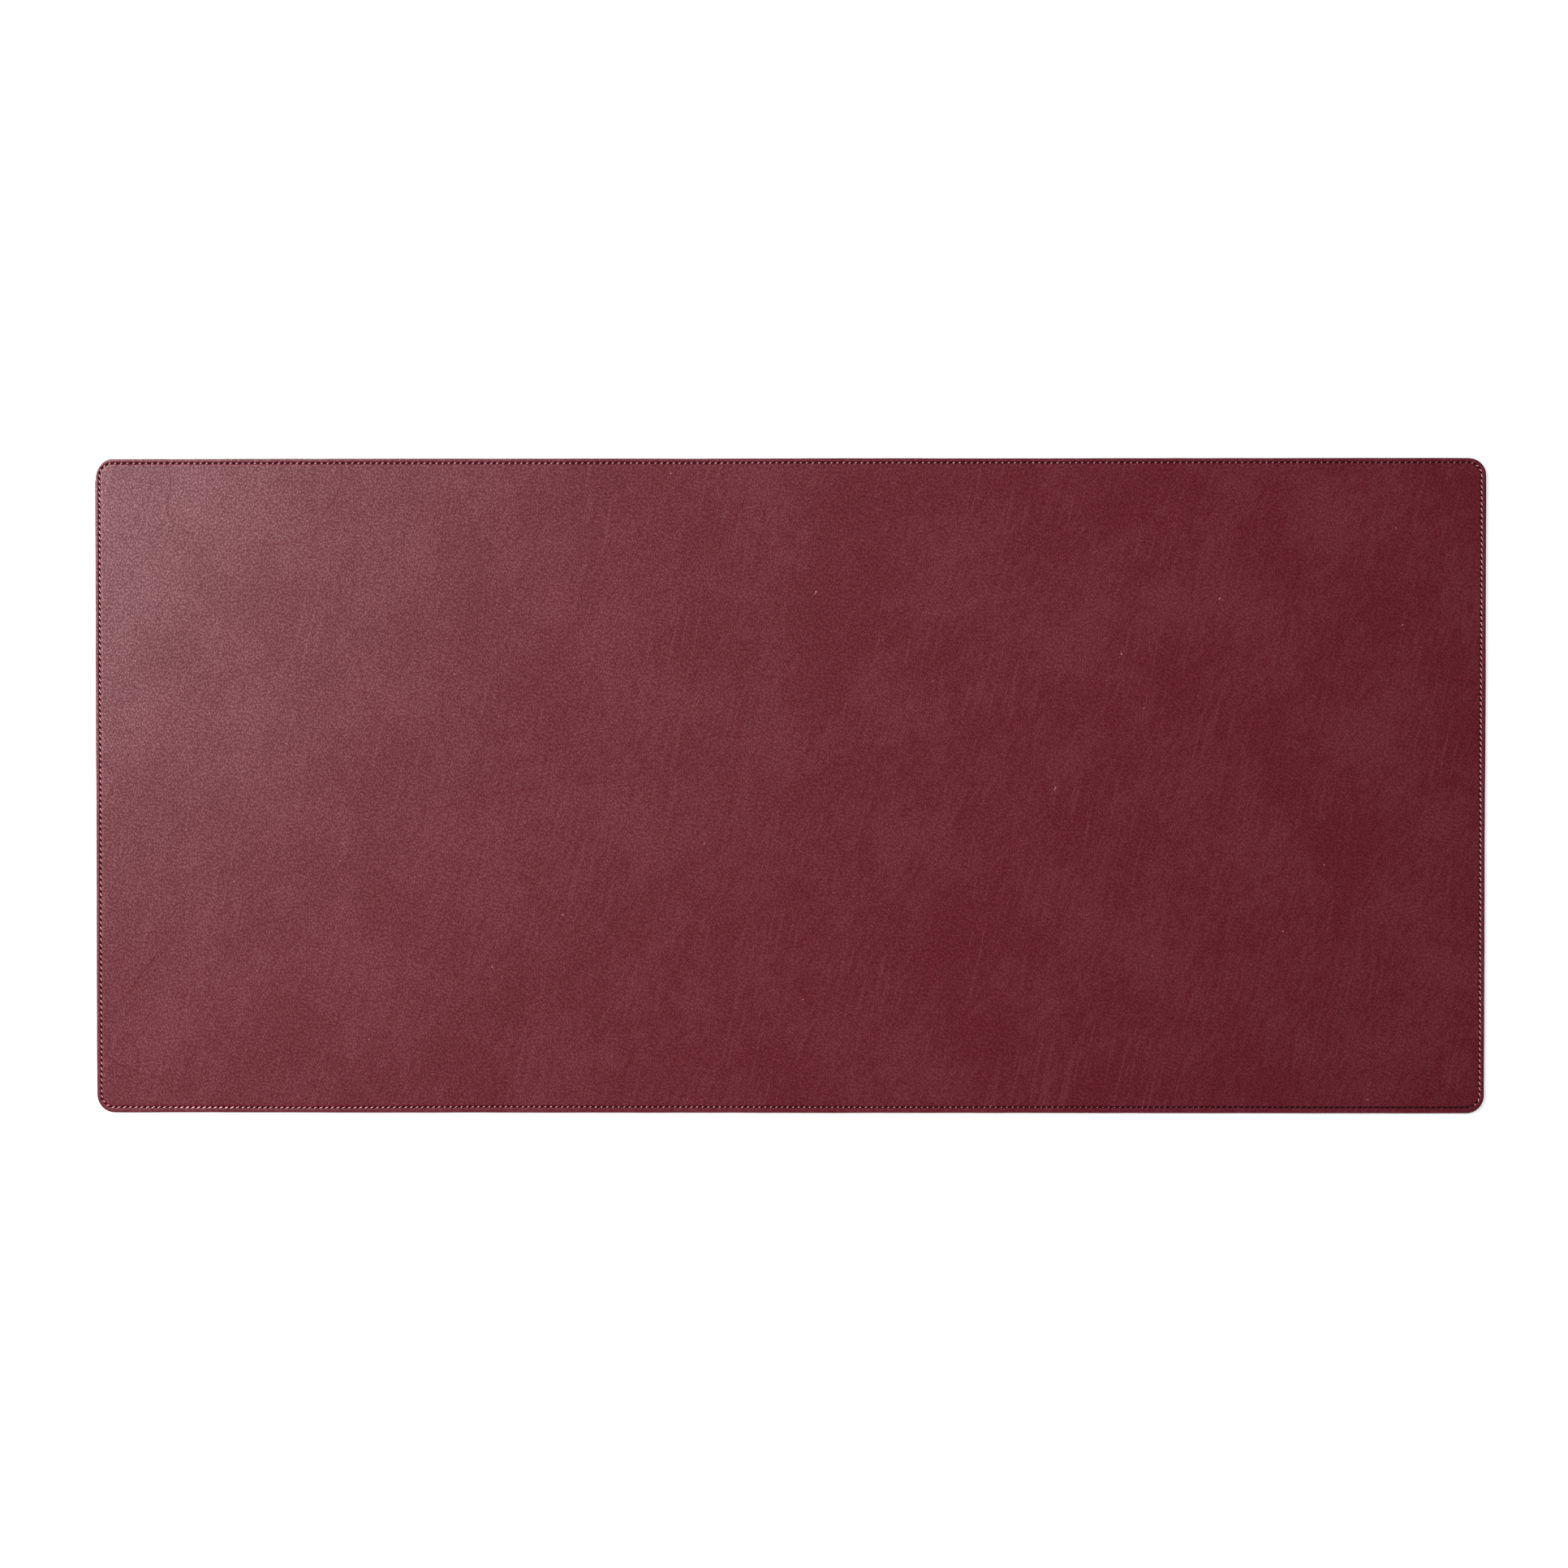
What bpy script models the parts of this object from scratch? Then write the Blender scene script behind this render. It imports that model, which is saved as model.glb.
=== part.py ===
"""A stitched leather-look desk mat, lying flat on a desk.

The mat is a laminate: six sheets cut to one outline, pressed together, sealed round their cut edge
with edge paint, and closed by one lockstitch seam that runs round the border. The seam pulls the
sheets together, so every sheet dips towards the middle of the laminate under the threads and thins
a little towards the cut edge.

Metres. +X runs along the mat's long side, +Y away from the person who sits at the desk, +Z up.
The origin is on the desk, under the middle of the mat.
"""

import math
from collections import namedtuple

import bmesh
import bpy

# Driving dimensions of the outline.
MAT_LENGTH = 0.9144
MAT_DEPTH = 0.4305
CORNER_RADIUS = 0.0115
CORNER_SEGMENTS = 8

# The seam: where it runs, how hard it pinches the laminate, and its threads.
SEAM_INSET = 0.0030
SEAM_FLOOR_HALF_WIDTH = 0.00036
SEAM_SLOPE_WIDTH = 0.00055
THREAD_HALF_WIDTH = 0.00027
THREAD_HALF_HEIGHT = 0.00020
THREAD_SEGMENTS = 8

# The painted cut edge.
PAINT_THICKNESS = 0.00018
PAINT_SHOULDER_INSET = 0.00006
PAINT_SHOULDER_HEIGHT = 0.00012

# Clear distance left between pieces that are glued or pressed together.
BOND_GAP = 0.00002

# An edge that turns by more than this stays sharp when the piece is shaded smooth.
SHARP_TURN = math.radians(35)

# Sheet thicknesses, from the desk up.
Sheet = namedtuple("Sheet", "name thickness color roughness")
SHEETS = (
    Sheet("suede_backing", 0.00060, (0.045, 0.012, 0.016), 0.95),
    Sheet("lower_glue_film", 0.00010, (0.62, 0.55, 0.42), 0.35),
    Sheet("stiffening_core", 0.00080, (0.10, 0.085, 0.08), 0.90),
    Sheet("upper_glue_film", 0.00010, (0.62, 0.55, 0.42), 0.35),
    Sheet("base_cloth", 0.00045, (0.16, 0.035, 0.045), 0.90),
    Sheet("grain_skin", 0.00035, (0.135, 0.016, 0.024), 0.48),
)
THREAD_COLOR = (0.42, 0.10, 0.13)
THREAD_ROUGHNESS = 0.40
PAINT_COLOR = (0.075, 0.008, 0.013)
PAINT_ROUGHNESS = 0.45

MAT_THICKNESS = sum(sheet.thickness for sheet in SHEETS) + BOND_GAP * (len(SHEETS) - 1)
MID_HEIGHT = MAT_THICKNESS / 2

# How thick the laminate is, as a share of its full thickness, from the cut edge inwards.
CUT_EDGE_INSET = PAINT_THICKNESS + BOND_GAP
RIM_CREST_INSET = 0.0013
CUT_EDGE_SHARE = 0.80
RIM_CREST_SHARE = 0.93
RIM_SHOULDER_SHARE = 0.90
SEAM_SHARE = 0.64
BODY_SHOULDER_SHARE = 0.95
FLAT_INSET = 0.0052

OUTER_FLOOR_INSET = SEAM_INSET - SEAM_FLOOR_HALF_WIDTH
INNER_FLOOR_INSET = SEAM_INSET + SEAM_FLOOR_HALF_WIDTH
SQUEEZE = (
    (CUT_EDGE_INSET, CUT_EDGE_SHARE),
    (RIM_CREST_INSET, RIM_CREST_SHARE),
    (OUTER_FLOOR_INSET - SEAM_SLOPE_WIDTH, RIM_SHOULDER_SHARE),
    (OUTER_FLOOR_INSET, SEAM_SHARE),
    (INNER_FLOOR_INSET, SEAM_SHARE),
    (INNER_FLOOR_INSET + SEAM_SLOPE_WIDTH, BODY_SHOULDER_SHARE),
    (FLAT_INSET, 1.0),
)


def clear_scene():
    for obj in list(bpy.data.objects):
        bpy.data.objects.remove(obj)


def principled(name, color, roughness):
    """A plain material: none of the mat's pieces is metal."""
    material = bpy.data.materials.new(name)
    material.use_nodes = True
    shader = material.node_tree.nodes["Principled BSDF"]
    shader.inputs["Base Color"].default_value = (*color, 1.0)
    shader.inputs["Roughness"].default_value = roughness
    shader.inputs["Metallic"].default_value = 0.0
    return material


def outline(inset):
    """Points of the mat's outline moved inwards by inset: four arcs joined by straight sides."""
    radius = CORNER_RADIUS - inset
    centre_x = MAT_LENGTH / 2 - CORNER_RADIUS
    centre_y = MAT_DEPTH / 2 - CORNER_RADIUS
    points = []
    for corner, (side_x, side_y) in enumerate(((1, 1), (-1, 1), (-1, -1), (1, -1))):
        for step in range(CORNER_SEGMENTS + 1):
            angle = math.pi / 2 * (corner + step / CORNER_SEGMENTS)
            x = side_x * centre_x + radius * math.cos(angle)
            y = side_y * centre_y + radius * math.sin(angle)
            points.append((x, y))
    return points


def squeezed(height, share):
    """A height in the flat laminate, drawn towards mid height where the laminate is thinner."""
    return MID_HEIGHT + (height - MID_HEIGHT) * share


def swept_mesh(name, profile, is_ring):
    """Carries a profile of (inset, height) points once round the outline.

    A ring's profile closes on itself. Any other profile starts and ends on a flat sheet face,
    which is filled in.
    """
    bm = bmesh.new()
    loops = []
    for inset, height in profile:
        loops.append([bm.verts.new((x, y, height)) for x, y in outline(inset)])
    following = loops[1:] + loops[:1] if is_ring else loops[1:]
    for near, far in zip(loops, following):
        count = len(near)
        for i in range(count):
            j = (i + 1) % count
            bm.faces.new((near[i], near[j], far[j], far[i]))
    if not is_ring:
        bm.faces.new(loops[0])
        bm.faces.new(loops[-1])
    bmesh.ops.recalc_face_normals(bm, faces=bm.faces)
    mesh = bpy.data.meshes.new(name)
    bm.to_mesh(mesh)
    bm.free()
    mesh.shade_smooth()
    mesh.set_sharp_from_angle(angle=SHARP_TURN)
    return mesh


def add_piece(name, base_height, profile, is_ring, color, roughness, mat):
    """Adds a piece whose own origin is base_height above the desk, under the middle of the mat."""
    local_profile = [(inset, height - base_height) for inset, height in profile]
    piece = bpy.data.objects.new(name, swept_mesh(name, local_profile, is_ring))
    piece.data.materials.append(principled(name, color, roughness))
    piece.location = (0.0, 0.0, base_height)
    piece.parent = mat
    bpy.context.scene.collection.objects.link(piece)


def add_sheets(mat):
    """The six sheets of the laminate, each resting on the one below."""
    base = 0.0
    for sheet in SHEETS:
        top = base + sheet.thickness
        underside = [(inset, squeezed(base, share)) for inset, share in reversed(SQUEEZE)]
        upper_side = [(inset, squeezed(top, share)) for inset, share in SQUEEZE]
        profile = underside + upper_side
        add_piece(sheet.name, base, profile, False, sheet.color, sheet.roughness, mat)
        base = top + BOND_GAP


def add_thread(name, centre_height, mat):
    """One thread of the seam, as the round cord that lies in the pinched valley."""
    profile = []
    for step in range(THREAD_SEGMENTS):
        angle = 2 * math.pi * step / THREAD_SEGMENTS
        inset = SEAM_INSET + THREAD_HALF_WIDTH * math.cos(angle)
        height = centre_height + THREAD_HALF_HEIGHT * math.sin(angle)
        profile.append((inset, height))
    add_piece(name, centre_height, profile, True, THREAD_COLOR, THREAD_ROUGHNESS, mat)


def add_edge_paint(mat):
    """The domed bead of paint that seals the cut edges of all six sheets."""
    low = squeezed(0.0, CUT_EDGE_SHARE)
    high = squeezed(MAT_THICKNESS, CUT_EDGE_SHARE)
    profile = [
        (PAINT_THICKNESS, low),
        (PAINT_SHOULDER_INSET, low + PAINT_SHOULDER_HEIGHT),
        (0.0, MID_HEIGHT),
        (PAINT_SHOULDER_INSET, high - PAINT_SHOULDER_HEIGHT),
        (PAINT_THICKNESS, high),
    ]
    add_piece("edge_paint", MID_HEIGHT, profile, True, PAINT_COLOR, PAINT_ROUGHNESS, mat)


def main():
    clear_scene()
    mat = bpy.data.objects.new("desk_mat", None)
    bpy.context.scene.collection.objects.link(mat)
    add_sheets(mat)
    thread_rise = BOND_GAP + THREAD_HALF_HEIGHT
    add_thread("needle_thread", squeezed(MAT_THICKNESS, SEAM_SHARE) + thread_rise, mat)
    add_thread("bobbin_thread", squeezed(0.0, SEAM_SHARE) - thread_rise, mat)
    add_edge_paint(mat)


main()
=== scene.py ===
"""Looks of a stitched leather-look desk mat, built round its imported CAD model.

Every sheet of the laminate, the two threads of the border seam and the painted edge are remade here
in fine geometry: the sheets follow the true cut edge and are pinched stitch by stitch, and the
threads go down into their needle holes.

Lengths are in metres. Places along the border are measured on the seam line, clockwise as seen
from above, from the left end of the back side. "Out" is the distance from the seam line towards
the mat's edge, so it is negative on the writing surface.
"""

import math
import random

import bmesh
import bpy
import numpy as np
from mathutils import Matrix, Vector, geometry, noise


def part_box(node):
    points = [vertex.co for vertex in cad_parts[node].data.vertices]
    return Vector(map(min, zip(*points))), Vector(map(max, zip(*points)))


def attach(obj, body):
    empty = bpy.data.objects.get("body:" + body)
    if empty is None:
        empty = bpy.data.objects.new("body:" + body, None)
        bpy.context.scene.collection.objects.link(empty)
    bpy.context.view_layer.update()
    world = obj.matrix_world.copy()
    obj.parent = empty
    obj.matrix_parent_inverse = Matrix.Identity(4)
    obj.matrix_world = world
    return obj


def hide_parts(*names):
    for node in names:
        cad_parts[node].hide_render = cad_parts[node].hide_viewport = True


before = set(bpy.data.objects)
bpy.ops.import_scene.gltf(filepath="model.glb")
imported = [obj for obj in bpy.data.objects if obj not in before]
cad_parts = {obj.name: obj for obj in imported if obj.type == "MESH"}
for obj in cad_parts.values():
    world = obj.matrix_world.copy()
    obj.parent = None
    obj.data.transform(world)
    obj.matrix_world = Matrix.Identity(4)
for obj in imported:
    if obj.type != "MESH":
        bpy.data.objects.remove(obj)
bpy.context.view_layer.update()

BODY = "root"
MM = 0.001

# The sheets from the desk up, and the clear distance that the CAD leaves between them.
SHEETS = (
    "suede_backing",
    "lower_glue_film",
    "stiffening_core",
    "upper_glue_film",
    "base_cloth",
    "grain_skin",
)
CORE = SHEETS.index("stiffening_core")
BOND_GAP = 0.02 * MM

# Places read from the CAD model.
SKIN_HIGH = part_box("grain_skin")[1]
PAINT_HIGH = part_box("edge_paint")[1]
NEEDLE_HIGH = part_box("needle_thread")[1]
BOBBIN_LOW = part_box("bobbin_thread")[0]
TOP = SKIN_HIGH.z
MIDDLE = TOP / 2
PAINT_WIDTH = PAINT_HIGH.x - SKIN_HIGH.x

# The seam line is a rounded rectangle, in the middle of the CAD's thread. The sheets' cut edge and
# the mat's painted edge run parallel to it.
CAD_THREAD_HALF_WIDTH = 0.27 * MM
SEAM_HALF_X = NEEDLE_HIGH.x - CAD_THREAD_HALF_WIDTH
SEAM_HALF_Y = NEEDLE_HIGH.y - CAD_THREAD_HALF_WIDTH
SEAM_INSET = PAINT_HIGH.x - SEAM_HALF_X
SEAM_RADIUS = 8.5 * MM
CUT_OUT = SEAM_INSET - PAINT_WIDTH
SIDE_LENGTHS = (
    2 * (SEAM_HALF_X - SEAM_RADIUS),
    2 * (SEAM_HALF_Y - SEAM_RADIUS),
) * 2
CORNER_LENGTH = math.pi / 2 * SEAM_RADIUS
SEAM_LENGTH = sum(SIDE_LENGTHS) + 4 * CORNER_LENGTH
FRONT_SIDE_START = SIDE_LENGTHS[0] + SIDE_LENGTHS[1] + 2 * CORNER_LENGTH
BACK_LEFT_CORNER_START = SEAM_LENGTH - CORNER_LENGTH

# Stitches, which are a little longer on the back side. The thread crosses the seam line on every
# stitch, and turns back within HOLE_REACH, a share of the stitch, on either side of a needle hole.
BACK_PITCH = 4.0 * MM
PITCH = 3.73 * MM
PITCH_SPREAD = 0.035
PITCH_SEED = 5
ZIGZAG = 0.36 * MM
HOLE_REACH = 0.2

# How far the seam and the cut edge stray outwards from their true lines. Here and below, values for
# the four sides stand in the order back, right, front, left. The left end of the front side strays
# further. It begins between two shares of the side's length.
SEAM_STRAYS = (-0.05 * MM, 0.2 * MM, -0.4 * MM, -0.05 * MM)
SEAM_STRAY_AT_END = 0.6 * MM
EDGE_STRAYS = (0.0, 0.2 * MM, 0.45 * MM, 0.0)
EDGE_STRAY_AT_END = 0.25 * MM
FRONT_LEFT_END_START = (0.72, 0.86)

# The surface moves with the seam up to this distance out, and with the cut edge at CUT_OUT.
WITH_SEAM_OUT = 0.7 * MM

# Slow waves along the border: how high, how long, and where they start in the noise. Plain noise
# seldom passes 0.6, so it is raised by a gain.
NOISE_GAIN = 1.6
SEAM_WAVE = (0.12 * MM, 90 * MM, 11.3)
EDGE_WAVE = (0.16 * MM, 150 * MM, 3.1)
EDGE_RIPPLE = (0.06 * MM, 22 * MM, 7.7)
PAINT_RIPPLE = (0.02 * MM, 9 * MM, 23.0)

# The back left corner was cut a little too close, and has a nick where the cuts meet.
NICK_DEPTH = 0.35 * MM
NICK_BEFORE_CORNER = 2.6 * MM
NICK_WIDTH = 2 * MM
CLOSE_CUT_DEPTH = 0.55 * MM
CLOSE_CUT_RISE = 7 * MM

# The last stitches on the front side are sewn twice, which locks the thread's end.
OVERSEWN_FROM = FRONT_SIDE_START + SIDE_LENGTHS[0] / 2 + 364 * MM
OVERSEWN_TO = FRONT_SIDE_START + SIDE_LENGTHS[0] / 2 + 405 * MM
OVERSEWN_LIFT = 0.12 * MM
OVERSEWN_ASIDE = 0.24 * MM

# The thread: three plies twisted together.
THREAD_RADIUS = 0.27 * MM
THREAD_CORNERS = 6
PLY_CREST = 1.08
PLY_GROOVE = 0.86
TWIST_LENGTH = 3.6 * MM
NEEDLE_STATIONS = 14
BOBBIN_STATIONS = 10

# How the thread lies. It goes down beside every hole, between these two shares of the stitch. Where
# the sides are sewn tight it doesn't come all the way up again.
NEEDLE_LIFT = 0.06 * MM
INSIDE_LAMINATE = 0.27 * MM
DIVE_END = 0.11
DIVE_STARTS = (0.48, 0.29, 0.50, 0.34)
TIGHTNESS = (0.28, 0.0, 0.45, 0.0)
SLACK = 0.03 * MM
SLACK_SEED = 17

# How the border is pinched, as shares of the laminate's thickness.
RIM_DROP = 0.08
EDGE_DROP = 0.07
ROLL_START = 1.9 * MM
VALLEY_DROP = 0.30
VALLEY_HALF_WIDTH = 0.58 * MM
FLAT_OUT = -2.2 * MM

# The needle holes are slots that the thread has pulled long. They lean outwards, and on each side
# they lie a little to one side of the seam line.
HOLE_DROP = 0.19
HOLE_HALF_LENGTH = 1.05 * MM
HOLE_HALF_WIDTH = 0.46 * MM
HOLE_OUTS = (0.14 * MM, -0.10 * MM, 0.02 * MM, 0.16 * MM)
HOLE_LEAN = 0.22

# Section of the sheets under the surface: places out from the seam, and shares of the thickness.
INNER_PINCH = (
    (CUT_OUT, 0.80),
    (1.70 * MM, 0.93),
    (0.91 * MM, 0.90),
    (0.40 * MM, 0.44),
    (-0.36 * MM, 0.44),
    (-0.91 * MM, 0.95),
    (FLAT_OUT, 1.0),
)

# Gentle unevenness of the lying sheet: how high, how many waves in a metre, and where they start in
# the noise. It fades out this far from the border.
BROAD_RELIEF = (0.10 * MM, 9, 1.7)
LOCAL_RELIEF = (0.035 * MM, 24, 5.2)
RELIEF_FADE = 35 * MM

# The bead of edge paint. Its section is fuller than a round one, by these powers.
PAINT_LIP = 0.14 * MM
PAINT_FILM = 0.03 * MM
PAINT_STEPS = 4
PAINT_BULGE_POWER = 0.6
PAINT_RISE_POWER = 0.75

# An edge that turns by more than this stays sharp. Flat faces are filled with triangles, to this
# many millimetres.
SHARP_TURN = math.radians(50)
FILL_WITH_TRIANGLES = 1
FILL_TOLERANCE = 1e-5

# The room: a wide floor, a dim even light, one soft light beyond the left side, and the camera.
FLOOR_REACH = 40.0
FLOOR_GLOW = 0.73
FLOOR_GAP = 0.05 * MM
ROOM_BRIGHTNESS = 0.20
KEY_PLACE = (-2.0, 0.93, 2.2)
KEY_TARGET = (0.0, 0.0, 0.0)
KEY_SIZE = (2.0, 1.6)
KEY_POWER = 236
LENS = 69.69
CAMERA_PLACE = (0.0139, 0.0344, 2.0)
CAMERA_TARGET = (-0.00338, 0.00116, 0.0)


def smooth(value, start, end):
    """Rises smoothly from 0 at start to 1 at end."""
    share = np.clip((value - start) / (end - start), 0.0, 1.0)
    return share * share * (3 - 2 * share)


# ---------------------------------------------------------------- the border, as a path


def border(lengths):
    """Points on the seam line and the directions out of the mat there, as two arrays."""
    lengths = lengths % SEAM_LENGTH
    points = np.zeros((len(lengths), 2))
    outwards = np.zeros((len(lengths), 2))
    centre_x = SEAM_HALF_X - SEAM_RADIUS
    centre_y = SEAM_HALF_Y - SEAM_RADIUS
    corner_centres = (
        (-centre_x, centre_y),
        (centre_x, centre_y),
        (centre_x, -centre_y),
        (-centre_x, -centre_y),
    )
    start = 0.0
    for side, straight in enumerate(SIDE_LENGTHS):
        heading = -side * math.pi / 2
        past = lengths - start
        here = (past >= 0) & (past < straight + CORNER_LENGTH)
        turned = np.clip((past - straight) / SEAM_RADIUS, 0, math.pi / 2)
        angle = heading + math.pi / 2 - turned
        outward = np.stack([np.cos(angle), np.sin(angle)], axis=1)
        along = np.clip(past, 0, straight)[:, None] * (math.cos(heading), math.sin(heading))
        places = np.array(corner_centres[side]) + along + outward * SEAM_RADIUS
        points[here] = places[here]
        outwards[here] = outward[here]
        start += straight + CORNER_LENGTH
    return points, outwards


def wander(lengths, wave):
    """Slow noise along the border, which meets itself after one lap."""
    height, wavelength, start = wave
    radius = SEAM_LENGTH / wavelength / (2 * math.pi)
    values = []
    for turn in lengths / SEAM_LENGTH * 2 * math.pi:
        place = Vector((radius * math.cos(turn), radius * math.sin(turn), start))
        values.append(noise.noise(place))
    return height * np.clip(np.array(values) * NOISE_GAIN, -1, 1)


def by_side(lengths, values):
    """A value that each side has of its own, which changes smoothly round the corners."""
    side_ends = np.cumsum(SIDE_LENGTHS) + CORNER_LENGTH * np.arange(4)
    result = np.full(len(lengths), values[0])
    for end, here, following in zip(side_ends, values, values[1:] + values[:1]):
        result += (following - here) * smooth(lengths, end, end + CORNER_LENGTH)
    return result


def front_left_end(lengths):
    """1 along the left end of the front side, falling to 0 on both sides of it."""
    past = (lengths - FRONT_SIDE_START) / SIDE_LENGTHS[2]
    corner_share = CORNER_LENGTH / SIDE_LENGTHS[2]
    return smooth(past, *FRONT_LEFT_END_START) * (1 - smooth(past, 1, 1 + corner_share))


def edge_stray(lengths):
    """How far the cut edge strays outwards from its true line: by sides, by waves and by the nick."""
    stray = wander(lengths, EDGE_WAVE) + wander(lengths, EDGE_RIPPLE)
    stray += by_side(lengths, EDGE_STRAYS) + EDGE_STRAY_AT_END * front_left_end(lengths)
    past_nick = (lengths - (BACK_LEFT_CORNER_START - NICK_BEFORE_CORNER)) % SEAM_LENGTH
    cut_end = CORNER_LENGTH + NICK_WIDTH
    nick = smooth(past_nick, 0, NICK_WIDTH / 4) * (1 - smooth(past_nick, NICK_WIDTH, cut_end))
    close_cut = smooth(past_nick, 0, CLOSE_CUT_RISE)
    close_cut *= 1 - smooth(past_nick, CLOSE_CUT_RISE, cut_end)
    return stray - NICK_DEPTH * nick - CLOSE_CUT_DEPTH * close_cut


def seam_stray(lengths):
    """How far the seam strays outwards from its true line. It runs far in along most of the front."""
    stray = by_side(lengths, SEAM_STRAYS) + SEAM_STRAY_AT_END * front_left_end(lengths)
    return stray + wander(lengths, SEAM_WAVE)


def needle_holes():
    """Where the needle went in: lengths along the seam, with the small spread of a sewing machine."""
    draw = random.Random(PITCH_SEED)
    holes = [0.0]
    while holes[-1] < SEAM_LENGTH:
        pitch = BACK_PITCH if holes[-1] < SIDE_LENGTHS[0] else PITCH
        holes.append(holes[-1] + pitch * (1 + draw.uniform(-PITCH_SPREAD, PITCH_SPREAD)))
    return np.array(holes[:-1]) * SEAM_LENGTH / holes[-1]


HOLES = needle_holes()
STITCH_LENGTHS = np.diff(np.append(HOLES, SEAM_LENGTH))


class Track:
    """Columns of vertices round the border, set at the given shares of every stitch."""

    def __init__(self, shares):
        self.per_stitch = len(shares)
        self.shares = np.tile(shares, len(HOLES))
        self.lengths = (HOLES[:, None] + STITCH_LENGTHS[:, None] * np.asarray(shares)).ravel()
        self.points, self.outwards = border(self.lengths)
        self.seam_stray = seam_stray(self.lengths)
        self.edge_stray = edge_stray(self.lengths)
        self.hole_out = by_side(self.lengths, HOLE_OUTS)

    def __len__(self):
        return len(self.lengths)

    def ring(self, out, height):
        """A closed ring of points at this distance out, which follows the seam or the cut edge."""
        near_edge = smooth(out, WITH_SEAM_OUT, CUT_OUT)
        near_seam = smooth(out, 2 * FLAT_OUT, 0) * (1 - near_edge)
        offset = out + self.seam_stray * near_seam + self.edge_stray * near_edge
        places = self.points + self.outwards * offset[:, None]
        return np.column_stack([places, np.broadcast_to(height, len(self))])


# One column a stitch, for the faces that lie inside the laminate.
STITCH_TRACK = Track((0.0,))


# ---------------------------------------------------------------- the pinched surface


def past_nearest_hole(share_of_stitch):
    """Distance along the seam past the nearest needle hole, negative before it."""
    return ((share_of_stitch + 0.5) % 1 - 0.5) * PITCH


def zigzag(share_of_stitch):
    """How far out the thread lies.

    It crosses the seam line outwards on every stitch, and turns back inside the needle holes.
    """
    stitch = np.sin(math.pi / 2 * (share_of_stitch - 0.5) / (0.5 - HOLE_REACH))
    past_hole = past_nearest_hole(share_of_stitch) / PITCH
    hole = -np.sin(math.pi / 2 * past_hole / HOLE_REACH)
    return ZIGZAG * np.where(np.abs(past_hole) < HOLE_REACH, hole, stitch)


def valley_shape(out):
    """1 on the seam line, falling to 0 on both sides."""
    return np.exp(-((out / VALLEY_HALF_WIDTH) ** 2))


def hole_shape(out, share_of_stitch, hole_out):
    """1 in a needle hole, falling to 0 round it."""
    past_hole = past_nearest_hole(share_of_stitch)
    off_line = out - hole_out - HOLE_LEAN * past_hole
    return np.exp(-((past_hole / HOLE_HALF_LENGTH) ** 4) - (off_line / HOLE_HALF_WIDTH) ** 2)


def thickness_share(out, share_of_stitch, hole_out=0.0):
    """How thick the laminate is, as a share of its flat thickness, anywhere on the border."""
    rim = RIM_DROP * smooth(out, FLAT_OUT, CUT_OUT)
    roll = np.clip((out - ROLL_START) / (CUT_OUT - ROLL_START), 0, 1)
    edge = EDGE_DROP * (1 - np.sqrt(1 - roll * roll))
    pinch = VALLEY_DROP * valley_shape(out) + HOLE_DROP * hole_shape(out, share_of_stitch, hole_out)
    return 1 - rim - edge - pinch


def seam_depth(out, share_of_stitch, hole_out):
    """0 on the open surface, about a half along the valley and 1 in a needle hole. The skin's colour
    takes painted shade from it.
    """
    return 0.5 * valley_shape(out) + 0.5 * hole_shape(out, share_of_stitch, hole_out)


def pinched(height, share):
    """A height in the flat laminate, drawn towards mid height where the laminate is thinner."""
    return MIDDLE + (height - MIDDLE) * share


def surface_relief(x, y):
    """How far the lying sheet rises or sinks at a place on it."""
    relief = 0.0
    for height, waves, start in (BROAD_RELIEF, LOCAL_RELIEF):
        relief += height * noise.noise(Vector((x * waves, y * waves, start)))
    return relief


# ---------------------------------------------------------------- building meshes


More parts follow.
